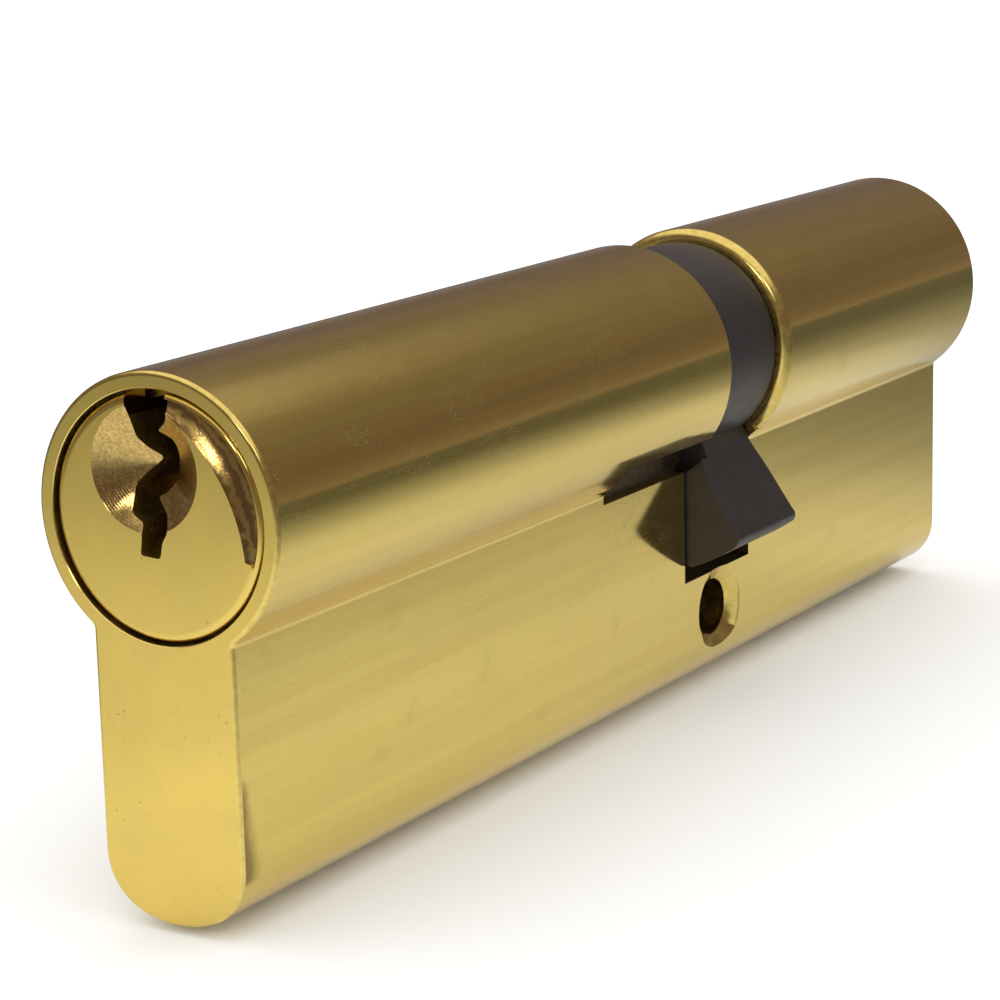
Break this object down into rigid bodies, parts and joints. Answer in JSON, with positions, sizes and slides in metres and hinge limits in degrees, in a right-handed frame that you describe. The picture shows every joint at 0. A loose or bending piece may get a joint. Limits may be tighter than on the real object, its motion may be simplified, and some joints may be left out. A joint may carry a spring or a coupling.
{
  "type": "euro profile double lock cylinder",
  "caption": "Euro-profile lock cylinder: a keyed plug at each end, spring-loaded pin stacks and a turning cam between them. Slides into a mortice lock and is held by one cross screw.",
  "frame": {"origin": "centre of the fixing-screw hole, on the middle plane of the web", "axes": "+Y along the cylinder from the front (60 mm) face to the rear (40 mm) face, +Z from the web's foot to the round head, +X to the right seen from the front"},
  "size_m": [0.0177, 0.1, 0.033],
  "materials": {
    "body_brass": "satin, drawn lengthwise, with polished end faces",
    "plug_brass": "polished, finely turned",
    "pin_brass": "turned",
    "sintered_steel": "dark oiled sintered steel, matt",
    "spring_steel": "bright drawn wire and rod",
    "circlip_steel": "blackened spring steel"
  },
  "bodies": {
    "body": {"body": "body_brass", "front_chamber_plug_1": "body_brass", "front_chamber_plug_2": "body_brass", "front_chamber_plug_3": "body_brass", "front_chamber_plug_4": "body_brass", "front_chamber_plug_5": "body_brass", "front_chamber_plug_6": "body_brass", "rear_chamber_plug_1": "body_brass", "rear_chamber_plug_2": "body_brass", "rear_chamber_plug_3": "body_brass", "rear_chamber_plug_4": "body_brass", "rear_chamber_plug_5": "body_brass", "rear_chamber_plug_6": "body_brass", "front_pin_spring_1": "spring_steel", "front_pin_spring_2": "spring_steel", "front_pin_spring_3": "spring_steel", "front_pin_spring_4": "spring_steel", "front_pin_spring_5": "spring_steel", "front_pin_spring_6": "spring_steel", "rear_pin_spring_1": "spring_steel", "rear_pin_spring_2": "spring_steel", "rear_pin_spring_3": "spring_steel", "rear_pin_spring_4": "spring_steel", "rear_pin_spring_5": "spring_steel", "rear_pin_spring_6": "spring_steel"},
    "plug_front": {"plug_front": "plug_brass", "circlip_front": "circlip_steel"},
    "plug_rear": {"plug_rear": "plug_brass", "circlip_rear": "circlip_steel"},
    "cam": {"cam": "sintered_steel"},
    "clutch_front": {"clutch_half_front": "sintered_steel"},
    "clutch_rear": {"clutch_half_rear": "sintered_steel"},
    "push_rod": {"push_rod": "spring_steel"},
    "front_key_pin_1": {"front_key_pin_1": "pin_brass"},
    "front_driver_pin_1": {"front_driver_pin_1": "pin_brass"},
    "front_key_pin_2": {"front_key_pin_2": "pin_brass"},
    "front_driver_pin_2": {"front_driver_pin_2": "pin_brass"},
    "front_key_pin_3": {"front_key_pin_3": "pin_brass"},
    "front_driver_pin_3": {"front_driver_pin_3": "pin_brass"},
    "front_key_pin_4": {"front_key_pin_4": "pin_brass"},
    "front_driver_pin_4": {"front_driver_pin_4": "pin_brass"},
    "front_key_pin_5": {"front_key_pin_5": "pin_brass"},
    "front_driver_pin_5": {"front_driver_pin_5": "pin_brass"},
    "front_key_pin_6": {"front_key_pin_6": "pin_brass"},
    "front_driver_pin_6": {"front_driver_pin_6": "pin_brass"},
    "rear_key_pin_1": {"rear_key_pin_1": "pin_brass"},
    "rear_driver_pin_1": {"rear_driver_pin_1": "pin_brass"},
    "rear_key_pin_2": {"rear_key_pin_2": "pin_brass"},
    "rear_driver_pin_2": {"rear_driver_pin_2": "pin_brass"},
    "rear_key_pin_3": {"rear_key_pin_3": "pin_brass"},
    "rear_driver_pin_3": {"rear_driver_pin_3": "pin_brass"},
    "rear_key_pin_4": {"rear_key_pin_4": "pin_brass"},
    "rear_driver_pin_4": {"rear_driver_pin_4": "pin_brass"},
    "rear_key_pin_5": {"rear_key_pin_5": "pin_brass"},
    "rear_driver_pin_5": {"rear_driver_pin_5": "pin_brass"},
    "rear_key_pin_6": {"rear_key_pin_6": "pin_brass"},
    "rear_driver_pin_6": {"rear_driver_pin_6": "pin_brass"}
  },
  "joints": [
    {"name": "front_plug_turn", "type": "hinge", "parent": "body", "child": "plug_front", "pos_m": [0, -0.06, 0.0188], "axis": [0, 1, 0], "continuous": true},
    {"name": "cam_turn", "type": "hinge", "parent": "body", "child": "cam", "pos_m": [0, 0, 0.0188], "axis": [0, 1, 0], "continuous": true},
    {"name": "rear_plug_turn", "type": "hinge", "parent": "body", "child": "plug_rear", "pos_m": [0, 0.04, 0.0188], "axis": [0, 1, 0], "continuous": true},
    {"name": "clutch_front_slide", "type": "slide", "parent": "plug_front", "child": "clutch_front", "axis": [0, 1, 0], "range_m": [-0.00195, 0]},
    {"name": "clutch_rear_slide", "type": "slide", "parent": "plug_rear", "child": "clutch_rear", "axis": [0, 1, 0], "range_m": [-0.00195, 0]},
    {"name": "push_rod_slide", "type": "slide", "parent": "plug_front", "child": "push_rod", "axis": [0, 1, 0], "range_m": [-0.00195, 0]},
    {"name": "front_key_pin_1_slide", "type": "slide", "parent": "plug_front", "child": "front_key_pin_1", "axis": [0, 0, 1], "range_m": [0, 0.0034]},
    {"name": "front_key_pin_2_slide", "type": "slide", "parent": "plug_front", "child": "front_key_pin_2", "axis": [0, 0, 1], "range_m": [0, 0.0022]},
    {"name": "front_key_pin_3_slide", "type": "slide", "parent": "plug_front", "child": "front_key_pin_3", "axis": [0, 0, 1], "range_m": [0, 0.0029]},
    {"name": "front_key_pin_4_slide", "type": "slide", "parent": "plug_front", "child": "front_key_pin_4", "axis": [0, 0, 1], "range_m": [0, 0.0017]},
    {"name": "front_key_pin_5_slide", "type": "slide", "parent": "plug_front", "child": "front_key_pin_5", "axis": [0, 0, 1], "range_m": [0, 0.0026]},
    {"name": "front_key_pin_6_slide", "type": "slide", "parent": "plug_front", "child": "front_key_pin_6", "axis": [0, 0, 1], "range_m": [0, 0.0031]},
    {"name": "front_driver_pin_1_slide", "type": "slide", "parent": "body", "child": "front_driver_pin_1", "axis": [0, 0, 1], "range_m": [-0.0024, 0], "stiffness_N_per_m": 120, "springref_m": 0.006, "deforming": ["front_pin_spring_1"]},
    {"name": "front_driver_pin_2_slide", "type": "slide", "parent": "body", "child": "front_driver_pin_2", "axis": [0, 0, 1], "range_m": [-0.0024, 0], "stiffness_N_per_m": 120, "springref_m": 0.006, "deforming": ["front_pin_spring_2"]},
    {"name": "front_driver_pin_3_slide", "type": "slide", "parent": "body", "child": "front_driver_pin_3", "axis": [0, 0, 1], "range_m": [-0.0024, 0], "stiffness_N_per_m": 120, "springref_m": 0.006, "deforming": ["front_pin_spring_3"]},
    {"name": "front_driver_pin_4_slide", "type": "slide", "parent": "body", "child": "front_driver_pin_4", "axis": [0, 0, 1], "range_m": [-0.0024, 0], "stiffness_N_per_m": 120, "springref_m": 0.006, "deforming": ["front_pin_spring_4"]},
    {"name": "front_driver_pin_5_slide", "type": "slide", "parent": "body", "child": "front_driver_pin_5", "axis": [0, 0, 1], "range_m": [-0.0024, 0], "stiffness_N_per_m": 120, "springref_m": 0.006, "deforming": ["front_pin_spring_5"]},
    {"name": "front_driver_pin_6_slide", "type": "slide", "parent": "body", "child": "front_driver_pin_6", "axis": [0, 0, 1], "range_m": [-0.0024, 0], "stiffness_N_per_m": 120, "springref_m": 0.006, "deforming": ["front_pin_spring_6"]},
    {"name": "rear_key_pin_1_slide", "type": "slide", "parent": "plug_rear", "child": "rear_key_pin_1", "axis": [0, 0, 1], "range_m": [0, 0.0034]},
    {"name": "rear_key_pin_2_slide", "type": "slide", "parent": "plug_rear", "child": "rear_key_pin_2", "axis": [0, 0, 1], "range_m": [0, 0.0022]},
    {"name": "rear_key_pin_3_slide", "type": "slide", "parent": "plug_rear", "child": "rear_key_pin_3", "axis": [0, 0, 1], "range_m": [0, 0.0029]},
    {"name": "rear_key_pin_4_slide", "type": "slide", "parent": "plug_rear", "child": "rear_key_pin_4", "axis": [0, 0, 1], "range_m": [0, 0.0017]},
    {"name": "rear_key_pin_5_slide", "type": "slide", "parent": "plug_rear", "child": "rear_key_pin_5", "axis": [0, 0, 1], "range_m": [0, 0.0026]},
    {"name": "rear_key_pin_6_slide", "type": "slide", "parent": "plug_rear", "child": "rear_key_pin_6", "axis": [0, 0, 1], "range_m": [0, 0.0031]},
    {"name": "rear_driver_pin_1_slide", "type": "slide", "parent": "body", "child": "rear_driver_pin_1", "axis": [0, 0, 1], "range_m": [-0.0024, 0], "stiffness_N_per_m": 120, "springref_m": 0.006, "deforming": ["rear_pin_spring_1"]},
    {"name": "rear_driver_pin_2_slide", "type": "slide", "parent": "body", "child": "rear_driver_pin_2", "axis": [0, 0, 1], "range_m": [-0.0024, 0], "stiffness_N_per_m": 120, "springref_m": 0.006, "deforming": ["rear_pin_spring_2"]},
    {"name": "rear_driver_pin_3_slide", "type": "slide", "parent": "body", "child": "rear_driver_pin_3", "axis": [0, 0, 1], "range_m": [-0.0024, 0], "stiffness_N_per_m": 120, "springref_m": 0.006, "deforming": ["rear_pin_spring_3"]},
    {"name": "rear_driver_pin_4_slide", "type": "slide", "parent": "body", "child": "rear_driver_pin_4", "axis": [0, 0, 1], "range_m": [-0.0024, 0], "stiffness_N_per_m": 120, "springref_m": 0.006, "deforming": ["rear_pin_spring_4"]},
    {"name": "rear_driver_pin_5_slide", "type": "slide", "parent": "body", "child": "rear_driver_pin_5", "axis": [0, 0, 1], "range_m": [-0.0024, 0], "stiffness_N_per_m": 120, "springref_m": 0.006, "deforming": ["rear_pin_spring_5"]},
    {"name": "rear_driver_pin_6_slide", "type": "slide", "parent": "body", "child": "rear_driver_pin_6", "axis": [0, 0, 1], "range_m": [-0.0024, 0], "stiffness_N_per_m": 120, "springref_m": 0.006, "deforming": ["rear_pin_spring_6"]}
  ],
  "couplings": [
    {"joint": "cam_turn", "follows": "front_plug_turn", "ratio": 1},
    {"joint": "clutch_rear_slide", "follows": "clutch_front_slide", "ratio": 1},
    {"joint": "push_rod_slide", "follows": "clutch_front_slide", "ratio": 1}
  ]
}
